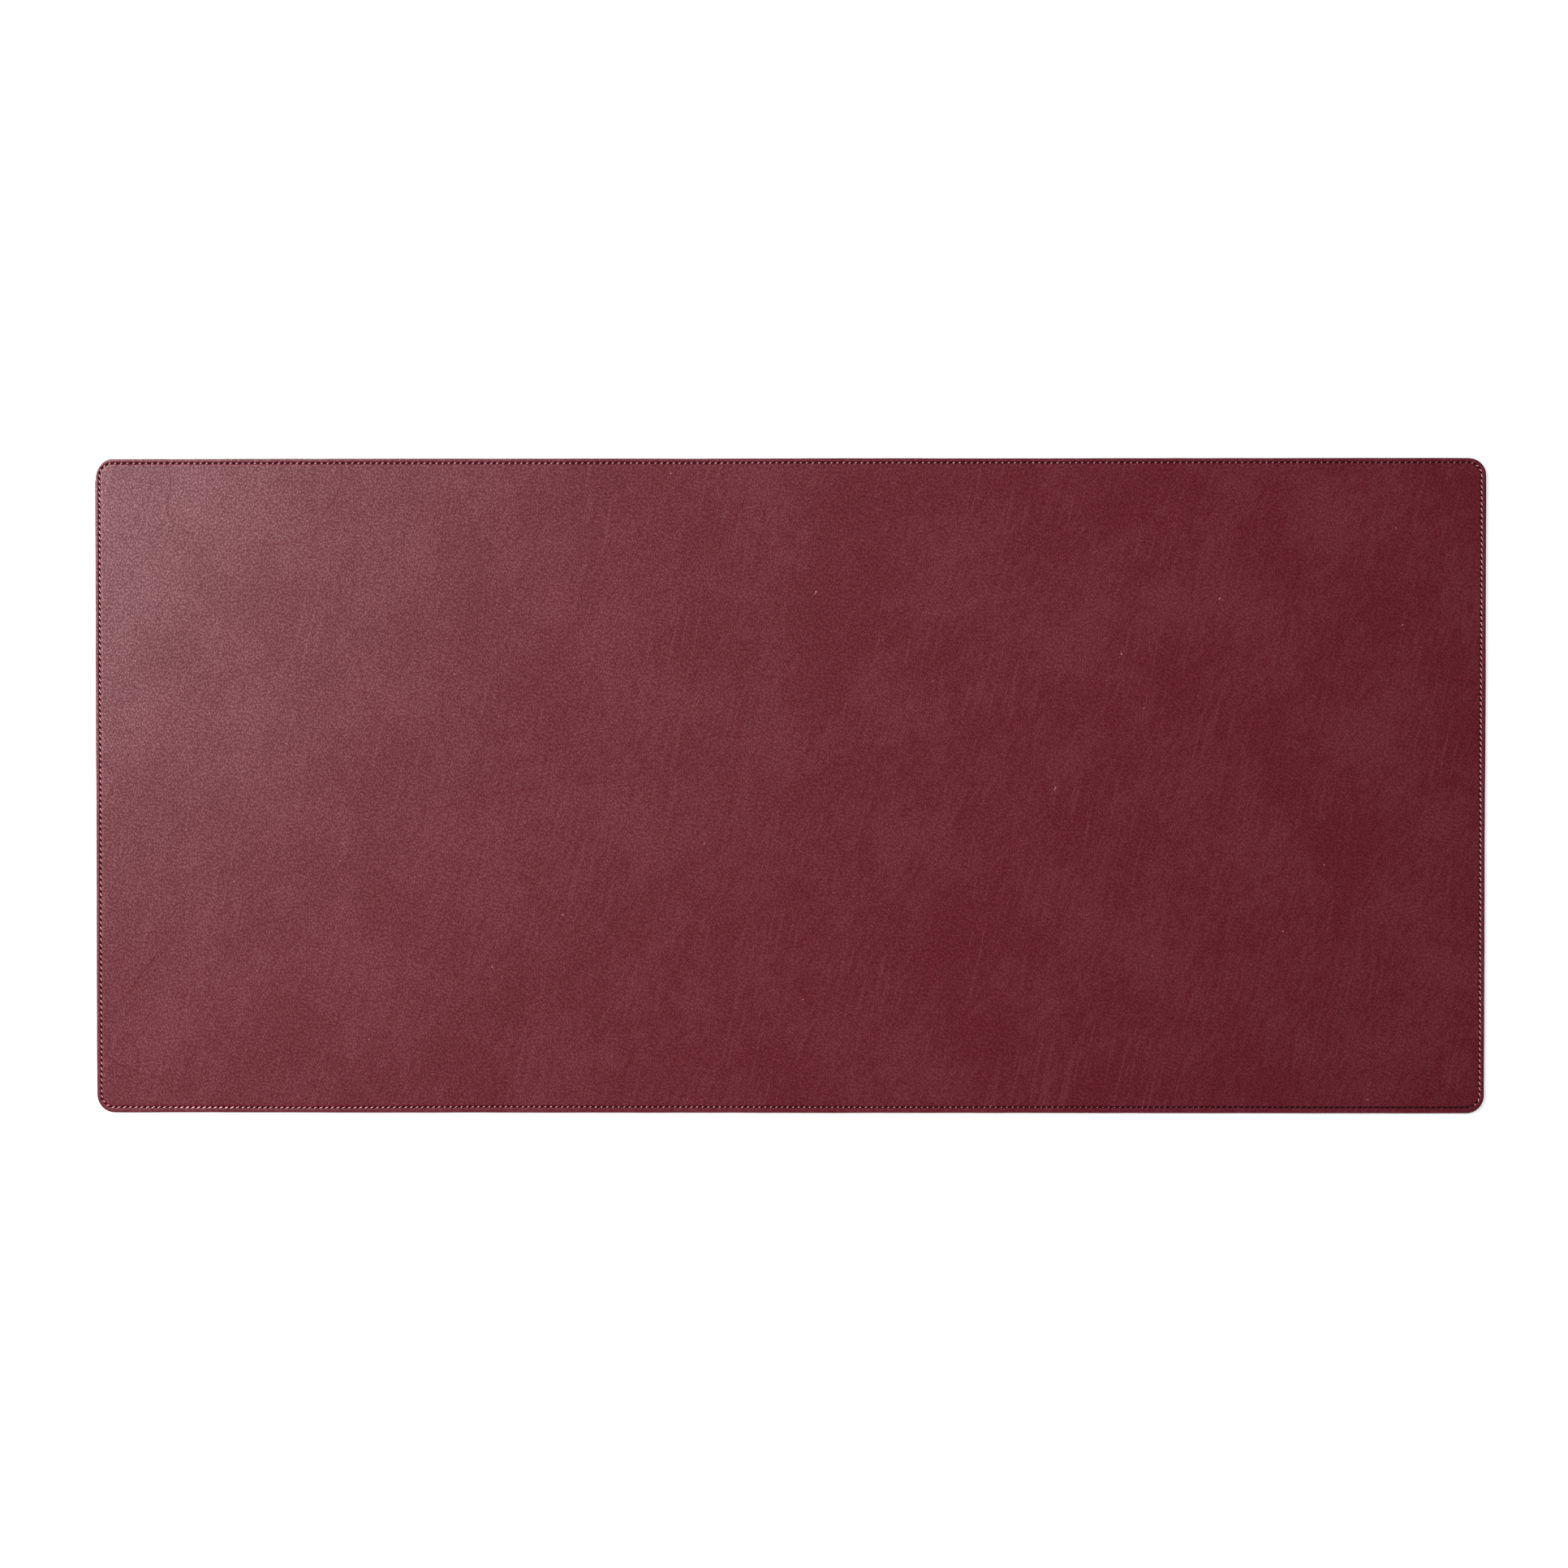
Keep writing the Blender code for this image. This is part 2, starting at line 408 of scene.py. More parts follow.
class Shell:
    """Vertices and faces of a closed surface, gathered ring by ring."""

    def __init__(self):
        self.vertices = []
        self.faces = []
        self.depths = []
        self.count = 0

    def add(self, points, depths=None):
        """Adds points and returns the index of the first."""
        first = self.count
        self.vertices.append(points)
        self.depths.append(np.zeros(len(points)) if depths is None else depths)
        self.count += len(points)
        return first

    def band(self, first, second, count):
        """Quads between two rings of the same count, given the index of each ring's first point."""
        here = np.arange(count)
        following = (here + 1) % count
        quads = np.column_stack([first + here, first + following, second + following, second + here])
        self.faces += quads.tolist()

    def fan_band(self, fine, coarse, coarse_count, step):
        """Triangles between a coarse ring and a fine one with step columns for each coarse one."""
        fine_count = coarse_count * step
        for i in range(coarse_count):
            corner = coarse + i
            next_corner = coarse + (i + 1) % coarse_count
            middle = i * step + step // 2
            for j in range(i * step, (i + 1) * step):
                hub = corner if j < middle else next_corner
                self.faces.append([fine + j, fine + (j + 1) % fine_count, hub])
            self.faces.append([corner, fine + middle, next_corner])

    def fill(self, ring, ring_first, inside=None):
        """Triangles that fill a closed ring, using any points given inside it."""
        points = ring if inside is None else np.vstack([ring, inside])
        inside_first = self.count
        if inside is not None:
            self.add(inside)
        flat = [Vector((x / MM, y / MM)) for x, y in points[:, :2]]
        count = len(ring)
        edges = [(i, (i + 1) % count) for i in range(count)]
        filled = geometry.delaunay_2d_cdt(flat, edges, [], FILL_WITH_TRIANGLES, FILL_TOLERANCE)
        _, _, triangles, origins, _, _ = filled
        for triangle in triangles:
            face = []
            for corner in triangle:
                i = origins[corner][0]
                face.append(ring_first + i if i < count else inside_first + i - count)
            self.faces.append(face)

    def make(self, name, material, node):
        """Turns the shell into a piece that stands for a CAD node."""
        mesh = bpy.data.meshes.new(name)
        mesh.from_pydata(np.vstack(self.vertices).tolist(), [], self.faces)
        depth = mesh.attributes.new("seam_depth", "FLOAT", "POINT")
        depth.data.foreach_set("value", np.concatenate(self.depths).astype(np.float32))
        bm = bmesh.new()
        bm.from_mesh(mesh)
        bmesh.ops.recalc_face_normals(bm, faces=bm.faces)
        bm.to_mesh(mesh)
        bm.free()
        mesh.shade_smooth()
        mesh.set_sharp_from_angle(angle=SHARP_TURN)
        mesh.materials.append(material)
        piece = bpy.data.objects.new(name, mesh)
        bpy.context.scene.collection.objects.link(piece)
        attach(piece, BODY)
        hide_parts(node)


# ---------------------------------------------------------------- the sheets


def flat_faces(node):
    """Heights of a sheet's lower and upper faces in the flat middle of the mat.

    The seam pinches every sheet towards the core. So a sheet's box shows the true height only of
    the face that looks away from the core, and its neighbour's box shows the other.
    """
    index = SHEETS.index(node)
    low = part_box(node)[0].z
    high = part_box(node)[1].z
    if index > CORE:
        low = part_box(SHEETS[index - 1])[1].z + BOND_GAP
    if index < CORE:
        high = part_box(SHEETS[index + 1])[0].z - BOND_GAP
    return low, high


def add_inner_face(shell, track, height):
    """A smooth face of a sheet, filled in the middle. Returns its outermost ring."""
    rings = []
    for out, share in INNER_PINCH:
        ring = track.ring(out, pinched(height, share))
        rings.append(shell.add(ring))
    for near, far in zip(rings, rings[1:]):
        shell.band(near, far, len(track))
    shell.fill(ring, rings[-1])
    return rings[0]


def add_stitched_face(shell, track, height, outs, inside):
    """A face that shows every stitch's pinch, filled in the middle. Returns its outermost ring."""
    rings = []
    for out in outs:
        share = thickness_share(out, track.shares, track.hole_out)
        depths = seam_depth(out, track.shares, track.hole_out)
        rings.append(shell.add(track.ring(out, pinched(height, share)), depths))
    for near, far in zip(rings, rings[1:]):
        shell.band(near, far, len(track))
    shell.fill(shell.vertices[-1], rings[-1], inside)
    return rings[0]


def middle_points(height, spacing):
    """Points that cover the flat middle of the writing surface, with its gentle unevenness."""
    margin = SEAM_INSET - FLAT_OUT + spacing
    reach_x = PAINT_HIGH.x - margin
    reach_y = PAINT_HIGH.y - margin
    corner = SEAM_RADIUS - spacing / 2
    points = []
    for y in np.linspace(-reach_y, reach_y, round(2 * reach_y / spacing) + 1):
        for x in np.linspace(-reach_x, reach_x, round(2 * reach_x / spacing) + 1):
            from_side_x = reach_x - abs(x)
            from_side_y = reach_y - abs(y)
            if max(from_side_x, from_side_y) < corner:
                continue
            fade = smooth(min(from_side_x, from_side_y), 0, RELIEF_FADE)
            points.append((x, y, height + fade * surface_relief(x, y)))
    return np.array(points)


def build_inner_sheet(node, material):
    """A sheet between the skin and the suede."""
    shell = Shell()
    low, high = flat_faces(node)
    low_rim = add_inner_face(shell, STITCH_TRACK, low)
    high_rim = add_inner_face(shell, STITCH_TRACK, high)
    shell.band(low_rim, high_rim, len(STITCH_TRACK))
    shell.make(node + "_sheet", material, node)


def build_outer_sheet(name, node, shares, outs, spacing, material):
    """The skin or the suede: stitched on its outer face and plain on its inner one."""
    shell = Shell()
    track = Track(shares)
    low, high = flat_faces(node)
    is_skin = SHEETS.index(node) > CORE
    outer, inner = (high, low) if is_skin else (low, high)
    middle = middle_points(outer, spacing) if is_skin else None
    outer_rim = add_stitched_face(shell, track, outer, outs, middle)
    inner_rim = add_inner_face(shell, STITCH_TRACK, inner)
    shell.fan_band(outer_rim, inner_rim, len(STITCH_TRACK), track.per_stitch)
    shell.make(name, material, node)


def build_skin():
    """The leather-look skin, whose upper face is the writing surface."""
    outs = [2.55, 2.2, 1.7, 1.25, 0.85, 0.5, 0.25, 0, -0.25, -0.5, -0.85, -1.4]
    build_outer_sheet(
        "leather_skin",
        "grain_skin",
        shares=(0, 0.14, 0.24, 0.33, 0.5, 0.67, 0.76, 0.86),
        outs=[CUT_OUT, *(out * MM for out in outs), FLAT_OUT],
        spacing=7 * MM,
        material=leather_material(),
    )


def build_suede():
    """The non-slip underside."""
    outs = [2.2, 1.3, 0.7, 0.3, 0, -0.3, -0.7, -1.3]
    build_outer_sheet(
        "suede_underside",
        "suede_backing",
        shares=(0, 0.16, 0.5, 0.84),
        outs=[CUT_OUT, *(out * MM for out in outs), FLAT_OUT],
        spacing=None,
        material=suede_material(),
    )


# ---------------------------------------------------------------- threads and edge paint


def tube(shell, centres, sides, depths, is_closed):
    """Adds a twisted thread that runs along the centres."""
    following = np.roll(centres, -1, axis=0)
    before = np.roll(centres, 1, axis=0)
    if not is_closed:
        following[-1] = centres[-1]
        before[0] = centres[0]
    along = following - before
    along /= np.linalg.norm(along, axis=1)[:, None]
    sides = sides - along * (sides * along).sum(axis=1)[:, None]
    sides /= np.linalg.norm(sides, axis=1)[:, None]
    risers = np.cross(along, sides)
    travelled = np.cumsum(np.linalg.norm(centres - before, axis=1))
    twist = 2 * math.pi * travelled / travelled[-1] * round(travelled[-1] / TWIST_LENGTH)
    first_rings = []
    for corner in range(THREAD_CORNERS):
        radius = THREAD_RADIUS * (PLY_CREST if corner % 2 == 0 else PLY_GROOVE)
        angle = twist + 2 * math.pi * corner / THREAD_CORNERS
        offset = sides * np.cos(angle)[:, None] + risers * np.sin(angle)[:, None]
        first_rings.append(shell.add(centres + radius * offset, depths))
    count = len(centres)
    for corner in range(THREAD_CORNERS):
        here = first_rings[corner]
        beside = first_rings[(corner + 1) % THREAD_CORNERS]
        shell.band(here, beside, count)
        if not is_closed:
            shell.faces.pop()
    if not is_closed:
        shell.faces.append(first_rings)
        shell.faces.append([first + count - 1 for first in first_rings])


def dive_start(lengths):
    """Share of a stitch at which the thread has come up from its hole.

    The stitches on the short sides, and at the left end of the front side, lie flat for longer.
    """
    starts = by_side(lengths, DIVE_STARTS)
    return starts + (DIVE_STARTS[3] - starts) * front_left_end(lengths)


def stitch_run(stations, crest, depth, first=0, last=None, aside=0.0):
    """Centres of a thread over a run of stitches, the directions out of the mat there, and depths.

    The centres are at the crest's height on the surface and at the depth's height inside a hole,
    and the depths are shares of the way down. Towards their right end the back and the front are
    sewn tighter, and the thread sinks in.
    """
    last = len(HOLES) if last is None else last
    shares = np.tile(np.arange(stations) / stations, last - first)
    starts = np.repeat(HOLES[first:last], stations)
    lengths = starts + shares * np.repeat(STITCH_LENGTHS[first:last], stations)
    points, outwards = border(lengths)
    out = zigzag(shares) + seam_stray(lengths) + aside
    tight = by_side(lengths, TIGHTNESS) * smooth(points[:, 0], -SEAM_HALF_X / 2, SEAM_HALF_X)
    rise = (1 - tight) * smooth(np.minimum(shares, 1 - shares), DIVE_END, dive_start(lengths))
    # No two stitches are pulled equally tight.
    draw = random.Random(SLACK_SEED)
    slack = [draw.uniform(-SLACK, SLACK) for _ in range(first, last)]
    top = crest + np.repeat(slack, stations)
    height = depth + (top - depth) * rise
    centres = np.column_stack([points + outwards * out[:, None], height])
    sides = np.column_stack([outwards, np.zeros(len(outwards))])
    return centres, sides, 1 - rise


def build_needle_thread():
    """The upper thread: a full lap of stitches, and the short second pass that locks its end."""
    shell = Shell()
    crest = NEEDLE_HIGH.z - THREAD_RADIUS + NEEDLE_LIFT
    depth = MIDDLE + INSIDE_LAMINATE
    tube(shell, *stitch_run(NEEDLE_STATIONS, crest, depth), is_closed=True)
    first, last = np.searchsorted(HOLES, (OVERSEWN_FROM, OVERSEWN_TO))
    over_crest = crest + OVERSEWN_LIFT
    over = stitch_run(NEEDLE_STATIONS, over_crest, depth, first, last, OVERSEWN_ASIDE)
    tube(shell, *over, is_closed=False)
    shell.make("needle_stitches", thread_material(), "needle_thread")


def build_bobbin_thread():
    """The lower thread, which meets the upper one inside the laminate."""
    shell = Shell()
    crest = BOBBIN_LOW.z + THREAD_RADIUS * PLY_CREST
    depth = MIDDLE - INSIDE_LAMINATE
    tube(shell, *stitch_run(BOBBIN_STATIONS, crest, depth), is_closed=True)
    shell.make("bobbin_stitches", thread_material(), "bobbin_thread")


def paint_section():
    """Section of the bead, as places out and heights above mid height, from its widest point up.

    The bead is domed over the cut edge and laps a little way over the sheet behind it.
    """
    def surface(out):
        return MIDDLE * thickness_share(out, 0.5)

    lip_out = CUT_OUT - PAINT_LIP
    section = []
    for step in range(PAINT_STEPS + 1):
        angle = math.pi / 2 * step / PAINT_STEPS
        bulge = PAINT_WIDTH * math.cos(angle) ** PAINT_BULGE_POWER
        rise = (surface(CUT_OUT) + PAINT_FILM) * math.sin(angle) ** PAINT_RISE_POWER
        section.append((CUT_OUT + bulge, rise))
    section.append((lip_out, surface(lip_out) + PAINT_FILM))
    section.append((lip_out, surface(lip_out) + PAINT_FILM / 3))
    section.append((CUT_OUT + PAINT_FILM / 3, surface(CUT_OUT) + PAINT_FILM / 3))
    return section


def build_edge_paint():
    """The bead of paint that seals the cut edges of all the sheets."""
    shell = Shell()
    track = Track((0.0, 0.5))
    upper = paint_section()
    lower = [(out, -height) for out, height in reversed(upper[1:])]
    unevenness = wander(track.lengths, PAINT_RIPPLE)
    rings = []
    for out, height in upper + lower:
        is_dome = out > CUT_OUT + PAINT_FILM
        ring = track.ring(out, MIDDLE + height)
        if is_dome:
            ring[:, :2] += track.outwards * unevenness[:, None]
        rings.append(shell.add(ring))
    for near, far in zip(rings, rings[1:] + rings[:1]):
        shell.band(near, far, len(track))
    shell.make("edge_coat", paint_material(), "edge_paint")


# ---------------------------------------------------------------- materials


class Recipe:
    """A procedural material under construction. Its patterns are measured in millimetres."""

    def __init__(self, name, dimensions="3D"):
        self.dimensions = dimensions
        self.material = bpy.data.materials.new(name)
        self.material.use_nodes = True
        self.tree = self.material.node_tree
        self.shader = self.tree.nodes["Principled BSDF"]
        coordinates = self.node("ShaderNodeTexCoord").outputs["Object"]
        self.place = self.vector("MULTIPLY", coordinates, (1 / MM,) * 3)

    def put(self, socket, value):
        """Links another node's output to a socket, or sets its value."""
        if isinstance(value, bpy.types.NodeSocket):
            self.tree.links.new(value, socket)
        else:
            socket.default_value = value

    def node(self, kind, inputs=None, **settings):
        node = self.tree.nodes.new(kind)
        for name, value in settings.items():
            setattr(node, name, value)
        for name, value in (inputs or {}).items():
            self.put(node.inputs[name], value)
        return node

    def vector(self, operation, first, second):
        """A sum or product of two vectors, taken number by number."""
        node = self.node("ShaderNodeVectorMath", {0: first, 1: second}, operation=operation)
        return node.outputs["Vector"]

    def maths(self, operation, first, second=0.0):
        return self.node("ShaderNodeMath", {0: first, 1: second}, operation=operation).outputs[0]

    def times(self, first, second):
        return self.maths("MULTIPLY", first, second)

    def plus(self, *terms):
        total = terms[0]
        for term in terms[1:]:
            total = self.maths("ADD", total, term)
        return total

    def attribute(self, name):
        return self.node("ShaderNodeAttribute", attribute_name=name).outputs["Fac"]

    def noise(self, size, detail=2.0, place=None, output="Fac"):
        """Cloudy noise whose lumps are about this many millimetres across."""
        inputs = {"Vector": place or self.place, "Scale": 1 / size, "Detail": detail}
        node = self.node("ShaderNodeTexNoise", inputs, noise_dimensions=self.dimensions)
        return node.outputs[output]

    def cells(self, size, feature, place=None):
        """Distances in a field of cells about this many millimetres across, in cell sizes."""
        inputs = {"Vector": place or self.place, "Scale": 1 / size}
        settings = {"feature": feature, "voronoi_dimensions": self.dimensions}
        return self.node("ShaderNodeTexVoronoi", inputs, **settings).outputs["Distance"]

    def warped(self, size, amount, place=None):
        """Places pushed about by up to this many millimetres."""
        push = self.vector("SUBTRACT", self.noise(size, output="Color"), (0.5, 0.5, 0.5))
        push = self.vector("MULTIPLY", push, (2 * amount,) * 3)
        return self.vector("ADD", place or self.place, push)

    def leaning(self, degrees, stretch):
        """Places in which a pattern is stretched along Y and leans this far towards +X."""
        inputs = {"Vector": self.place, "Angle": math.radians(degrees)}
        turned = self.node("ShaderNodeVectorRotate", inputs, rotation_type="Z_AXIS").outputs["Vector"]
        return self.vector("MULTIPLY", turned, (1, 1 / stretch, 1))

    def ramp(self, value, low, high, start=0.0, end=1.0):
        """Goes smoothly from start to end as the value goes from low to high."""
        inputs = {"Value": value, "From Min": low, "From Max": high, "To Min": start, "To Max": end}
        node = self.node("ShaderNodeMapRange", inputs, interpolation_type="SMOOTHSTEP")
        return node.outputs["Result"]

    def blend(self, share, first, second):
        """A colour between two others."""
        node = self.node("ShaderNodeMix", data_type="RGBA")
        for socket, value in (("Factor_Float", share), ("A_Color", first), ("B_Color", second)):
            self.put(next(s for s in node.inputs if s.identifier == socket), value)
        return next(s for s in node.outputs if s.identifier == "Result_Color")

    def relief(self, millimetres):
        """Turns a height in millimetres into a normal."""
        return self.node("ShaderNodeBump", {"Height": millimetres, "Distance": MM}).outputs["Normal"]

    def finish(self, inputs):
        """Sets the shader's sockets and returns the material."""
        for name, value in inputs.items():
            self.put(self.shader.inputs[name], value)
        return self.material


def rgb(red, green, blue):
    return red, green, blue, 1.0


def leather_material():
    """Wine-red polyurethane with a fine pebble grain, soft mottling, faint streaks and creases.

    It is painted darker down in the seam and in the needle holes, as painted shade, and has a few
    pale specks.
    """
    recipe = Recipe("wine_leather_grain", "2D")
    seam = recipe.attribute("seam_depth")

    lean = recipe.leaning(24, 1.6)
    pebbles = recipe.cells(1.1, "F1", recipe.warped(1.8, 0.35, lean))
    pebbles = recipe.ramp(pebbles, 0.05, 0.65, 1.0, 0.0)
    lumps = recipe.noise(0.8, 1.0, lean)
    grain = recipe.plus(recipe.times(pebbles, 0.5), recipe.ramp(lumps, 0.3, 0.7, 0.0, 0.5))
    grain = recipe.ramp(grain, 0.25, 0.85)

    broad = recipe.noise(75, 3.0)
    patches = recipe.noise(20, 3.0, recipe.leaning(20, 2.2))
    flecks = recipe.noise(3.4, 1.0, recipe.leaning(24, 3.2))
    streaks = recipe.ramp(recipe.noise(2.4, 2.0, recipe.leaning(12, 26)), 0.56, 0.74)
    streaks = recipe.times(streaks, recipe.ramp(recipe.noise(55, 1.0), 0.44, 0.62))
    crease_distance = recipe.cells(250, "DISTANCE_TO_EDGE", recipe.warped(150, 70))
    creases = recipe.ramp(crease_distance, 0.0, 0.008, 1.0, 0.0)
    creases = recipe.times(creases, recipe.ramp(recipe.noise(80, 1.0), 0.44, 0.58))
    specks = recipe.ramp(recipe.cells(110, "F1", recipe.warped(9, 4)), 0.003, 0.005, 1.0, 0.0)

    tone = recipe.plus(
        recipe.times(broad, 0.65),
        recipe.times(patches, 0.42),
        recipe.times(flecks, 0.50),
        recipe.times(streaks, 0.50),
    )
    tone = recipe.ramp(tone, 0.56, 1.08)
    colour = recipe.blend(tone, rgb(0.0745, 0.0040, 0.0093), rgb(0.091, 0.0100, 0.0168))
    colour = recipe.vector("MULTIPLY", colour, recipe.ramp(grain, 0.0, 1.0, 0.80, 1.27))
    # Painted shade: the creases are a little darker along their grooves.
    colour = recipe.blend(recipe.times(creases, 0.12), colour, rgb(0.05, 0.003, 0.006))
    colour = recipe.blend(recipe.times(specks, 0.6), colour, rgb(0.40, 0.20, 0.20))
    # Painted shade: darker along the seam's valley, and near black in the needle holes.
    colour = recipe.blend(recipe.ramp(seam, 0.15, 0.50), colour, rgb(0.022, 0.0003, 0.002))
    colour = recipe.blend(recipe.ramp(seam, 0.50, 0.85), colour, rgb(0.008, 0.0, 0.0007))

    roughness = recipe.plus(
        recipe.ramp(broad, 0.3, 0.7, 0.40, 0.37),
        recipe.ramp(patches, 0.3, 0.7, 0.015, -0.015),
        recipe.times(seam, 0.6),
    )
    height = recipe.plus(
        recipe.times(pebbles, 0.007),
        recipe.times(lumps, 0.006),
        recipe.times(flecks, 0.01),
        recipe.times(creases, -0.03),
    )
    # The clear top coat is thick on the pebbles and thin between them.
    top_coat = recipe.ramp(grain, 0.0, 1.0, 0.20, 0.75)
    top_coat = recipe.times(top_coat, recipe.ramp(tone, 0.0, 1.0, 0.90, 1.10))
    top_coat = recipe.times(top_coat, recipe.ramp(seam, 0.0, 0.15, 1.0, 0.0))
    top_coat = recipe.times(top_coat, recipe.ramp(creases, 0.0, 1.0, 1.0, 0.6))
    return recipe.finish({
        "Base Color": colour,
        "Roughness": roughness,
        "Normal": recipe.relief(height),
        "Specular IOR Level": 0.10,
        "Coat Weight": top_coat,
        "Coat Roughness": 0.385,
    })


def thread_material():
    """Dyed polyester thread: bright filaments with a soft gloss, and painted shade where it goes down
    into the needle holes.
    """
    recipe = Recipe("wine_thread")
    filaments = recipe.noise(0.10, 2.0)
    dye = recipe.noise(6.0, 2.0)
    shade = recipe.plus(recipe.times(filaments, 0.5), recipe.times(dye, 0.5))
    dark = rgb(0.53, 0.225, 0.24)
    bright = rgb(0.72, 0.365, 0.38)
    colour = recipe.blend(recipe.ramp(shade, 0.35, 0.65), dark, bright)
    depth = recipe.attribute("seam_depth")
    # Painted shade: the thread darkens as it goes down into a needle hole.
    colour = recipe.blend(recipe.ramp(depth, 0.15, 0.55), colour, rgb(0.04, 0.002, 0.005))
    roughness = recipe.plus(recipe.ramp(filaments, 0.3, 0.7, 0.32, 0.44), recipe.times(depth, 0.5))
    return recipe.finish({
        "Base Color": colour,
        "Roughness": roughness,
        "Normal": recipe.relief(recipe.times(filaments, 0.03)),
        "Specular IOR Level": 0.15,
    })


def suede_material():
    """Short brushed nap, darker where it was stroked the other way."""
    recipe = Recipe("dark_suede_nap")
    nap = recipe.noise(0.45, 4.0)
    strokes = recipe.noise(22, 3.0, recipe.leaning(60, 2.5))
    shade = recipe.plus(recipe.times(nap, 0.5), recipe.times(strokes, 0.6))
    dark = rgb(0.030, 0.006, 0.009)
    bright = rgb(0.075, 0.020, 0.027)
    return recipe.finish({
        "Base Color": recipe.blend(recipe.ramp(shade, 0.38, 0.72), dark, bright),
        "Roughness": recipe.ramp(nap, 0.3, 0.7, 0.98, 0.86),
        "Normal": recipe.relief(recipe.times(nap, 0.16)),
        "Specular IOR Level": 0.2,
        "Sheen Weight": 0.35,
        "Sheen Roughness": 0.45,
    })


def paint_material():
    """Edge paint, laid on by a roller and slightly uneven."""
    recipe = Recipe("burgundy_edge_paint")
    ripples = recipe.noise(1.6, 2.0)
    pooled = recipe.noise(14, 2.0)
    shade = recipe.plus(recipe.times(ripples, 0.4), recipe.times(pooled, 0.6))
    dark = rgb(0.060, 0.004, 0.009)
    bright = rgb(0.095, 0.010, 0.016)
    return recipe.finish({
        "Base Color": recipe.blend(recipe.ramp(shade, 0.35, 0.65), dark, bright),
        "Roughness": recipe.ramp(ripples, 0.3, 0.7, 0.34, 0.42),
        "Normal": recipe.relief(recipe.times(ripples, 0.03)),
    })


def cloth_material():
    """The knit that carries the skin: fine ribs crossed by rows of loops."""
    recipe = Recipe("base_cloth_knit")
    bands = []
    for direction in ("X", "Y"):
        inputs = {"Vector": recipe.warped(1.5, 0.06), "Scale": 0.5}
        node = recipe.node("ShaderNodeTexWave", inputs, bands_direction=direction)
        bands.append(node.outputs["Fac"])
    loops = recipe.times(*bands)
    return recipe.finish({
        "Base Color": recipe.blend(loops, rgb(0.09, 0.016, 0.022), rgb(0.19, 0.045, 0.056)),
        "Roughness": recipe.ramp(recipe.noise(0.5), 0.3, 0.7, 0.82, 0.95),
        "Normal": recipe.relief(recipe.times(loops, 0.08)),
    })


def glue_material():
    """Cured laminating adhesive, with faint lines where the roller passed."""
    recipe = Recipe("laminating_glue")
    rolled = recipe.noise(3.0, 2.0, recipe.leaning(0, 8))
    dark = rgb(0.52, 0.44, 0.31)
    bright = rgb(0.68, 0.61, 0.47)
    return recipe.finish({
        "Base Color": recipe.blend(recipe.ramp(rolled, 0.35, 0.65), dark, bright),
        "Roughness": recipe.ramp(rolled, 0.3, 0.7, 0.28, 0.42),
        "Normal": recipe.relief(recipe.times(rolled, 0.03)),
    })


def core_material():
    """Bonded non-woven fibres that lie every way, with a few pale ones."""
    recipe = Recipe("bonded_fibre_core")
    first = recipe.noise(0.5, 3.0, recipe.leaning(35, 9))
    second = recipe.noise(0.5, 3.0, recipe.leaning(-50, 9))
    fibres = recipe.maths("MAXIMUM", first, second)
    dark = rgb(0.07, 0.058, 0.054)
    pale = rgb(0.21, 0.19, 0.18)
    return recipe.finish({
        "Base Color": recipe.blend(recipe.ramp(fibres, 0.45, 0.75), dark, pale),
        "Roughness": recipe.ramp(fibres, 0.4, 0.7, 0.97, 0.85),
        "Normal": recipe.relief(recipe.times(fibres, 0.12)),
    })


def floor_material():
    """A plain white sweep that glows, so that it stays white right up to the mat.

    Seen from below it is clear, so that it doesn't hide the mat's underside.
    """
    recipe = Recipe("pale_floor")
    is_below = recipe.node("ShaderNodeNewGeometry").outputs["Backfacing"]
    return recipe.finish({
        "Base Color": rgb(0.3, 0.3, 0.3),
        "Roughness": 0.9,
        "Specular IOR Level": 0.0,
        "Emission Color": rgb(1, 1, 1),
        "Emission Strength": FLOOR_GLOW,
        "Alpha": recipe.maths("SUBTRACT", 1.0, is_below),
    })


# ---------------------------------------------------------------- floor, light and camera


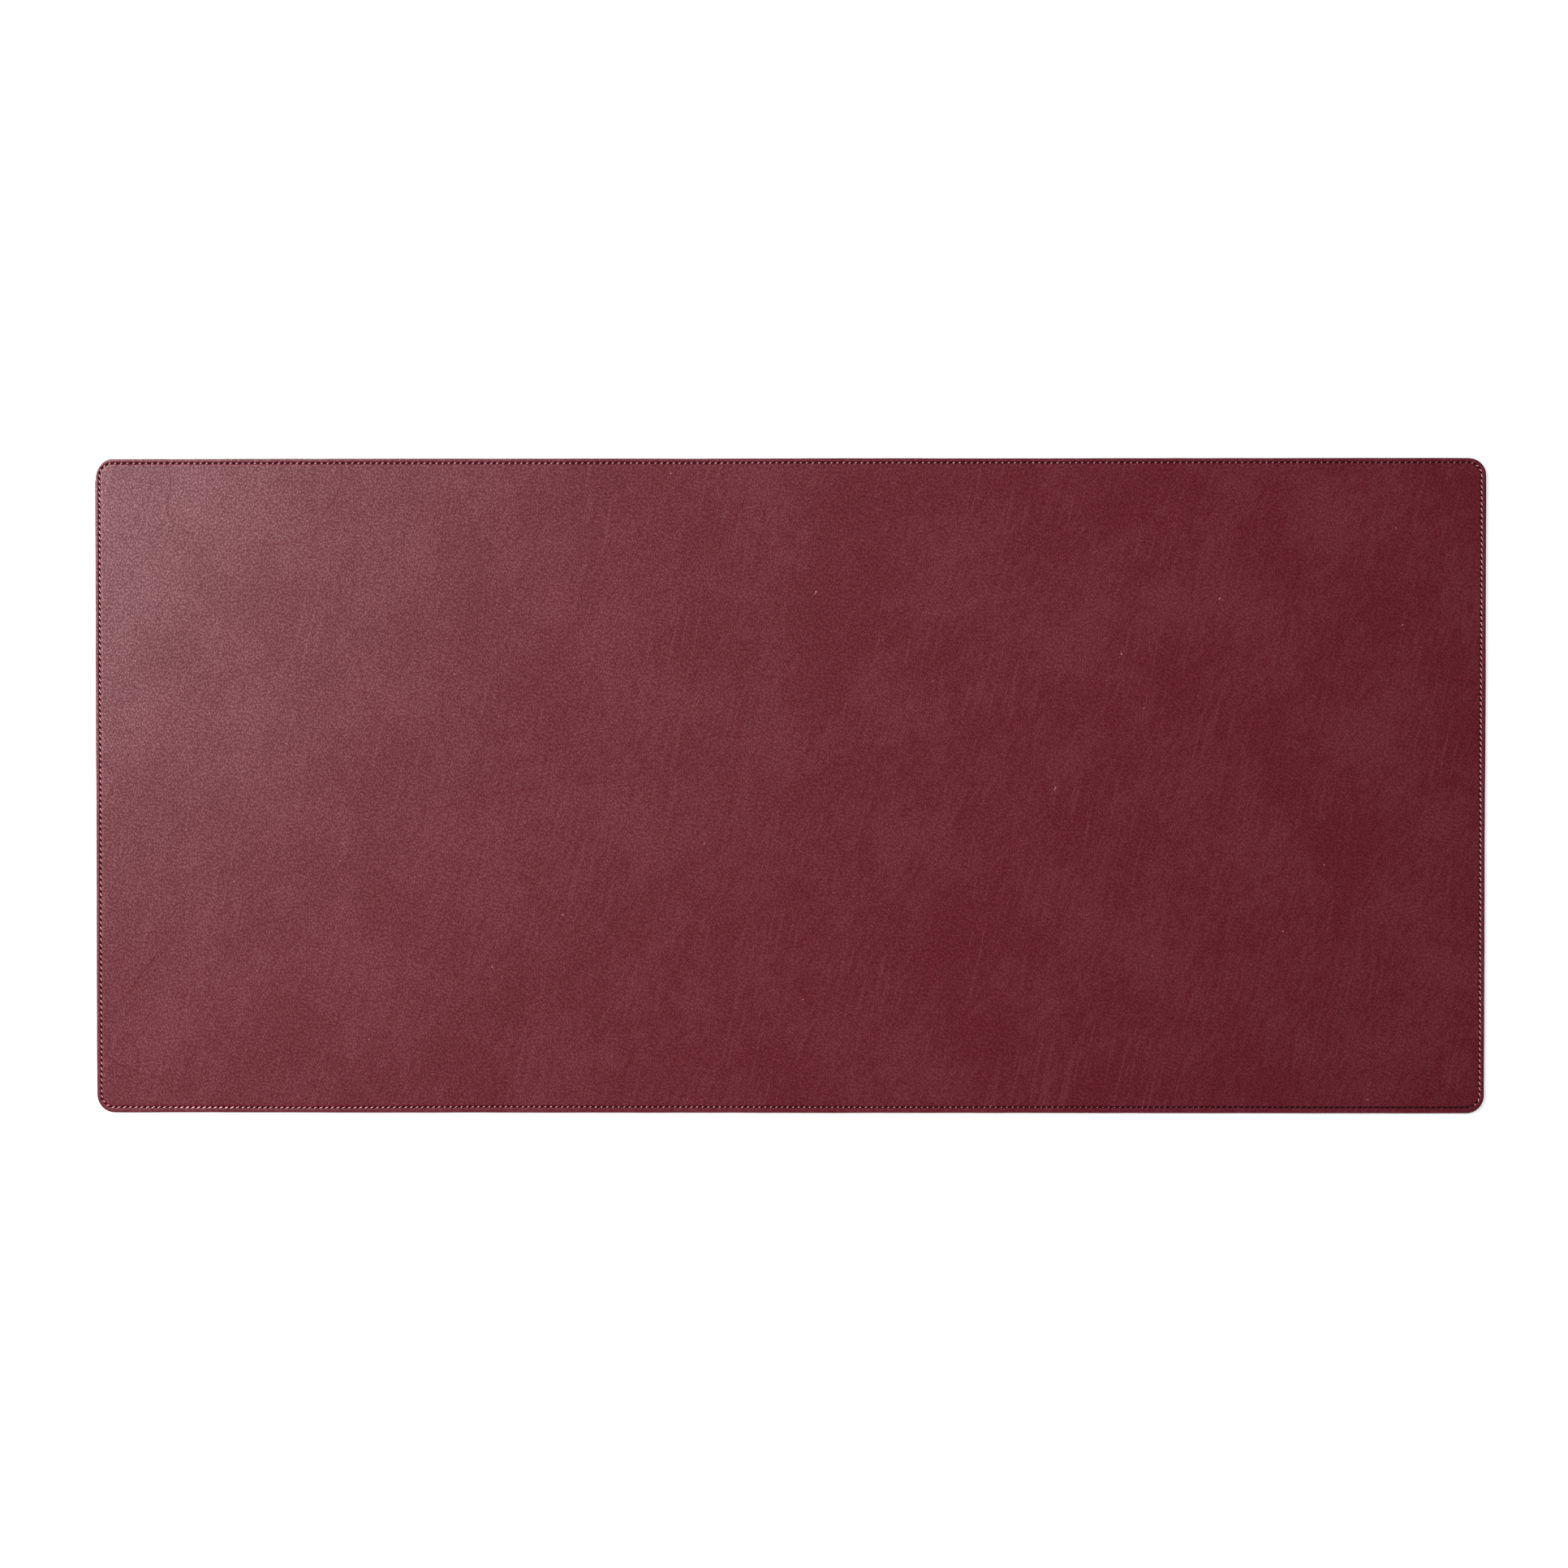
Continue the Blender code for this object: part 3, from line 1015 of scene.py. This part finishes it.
def aim(obj, place, target):
    """Places a light or the camera so that it looks at the target with its top towards +Y."""
    place = Vector(place)
    backward = (place - Vector(target)).normalized()
    right = Vector((0, 1, 0)).cross(backward).normalized()
    upward = backward.cross(right)
    obj.matrix_world = Matrix((right, upward, backward)).transposed().to_4x4()
    obj.location = place
    bpy.context.scene.collection.objects.link(obj)


def build_floor():
    bm = bmesh.new()
    bmesh.ops.create_grid(bm, x_segments=4, y_segments=4, size=FLOOR_REACH)
    mesh = bpy.data.meshes.new("floor")
    bm.to_mesh(mesh)
    bm.free()
    mesh.materials.append(floor_material())
    floor = bpy.data.objects.new("floor", mesh)
    floor.location.z = -FLOOR_GAP
    bpy.context.scene.collection.objects.link(floor)


def add_window_light(name, place, target, width, height, power):
    """A soft rectangular light."""
    light = bpy.data.lights.new(name, "AREA")
    light.shape = "RECTANGLE"
    light.size = width
    light.size_y = height
    light.energy = power
    aim(bpy.data.objects.new(name, light), place, target)


def light_room():
    scene = bpy.context.scene
    world = bpy.data.worlds.new("room")
    world.use_nodes = True
    background = world.node_tree.nodes["Background"]
    background.inputs["Color"].default_value = rgb(1, 1, 1)
    background.inputs["Strength"].default_value = ROOM_BRIGHTNESS
    scene.world = world
    scene.view_settings.view_transform = "Standard"
    scene.view_settings.look = "None"
    add_window_light("key", KEY_PLACE, KEY_TARGET, *KEY_SIZE, KEY_POWER)


def add_camera():
    """The camera looks straight down at the mat from 2 m, with the back side at the top."""
    camera = bpy.data.cameras.new("camera")
    camera.sensor_width = 36
    camera.lens = LENS
    obj = bpy.data.objects.new("camera", camera)
    aim(obj, CAMERA_PLACE, CAMERA_TARGET)
    bpy.context.scene.camera = obj


def main():
    build_skin()
    build_inner_sheet("base_cloth", cloth_material())
    build_inner_sheet("upper_glue_film", glue_material())
    build_inner_sheet("stiffening_core", core_material())
    build_inner_sheet("lower_glue_film", glue_material())
    build_suede()
    build_needle_thread()
    build_bobbin_thread()
    build_edge_paint()
    build_floor()
    light_room()
    add_camera()


main()
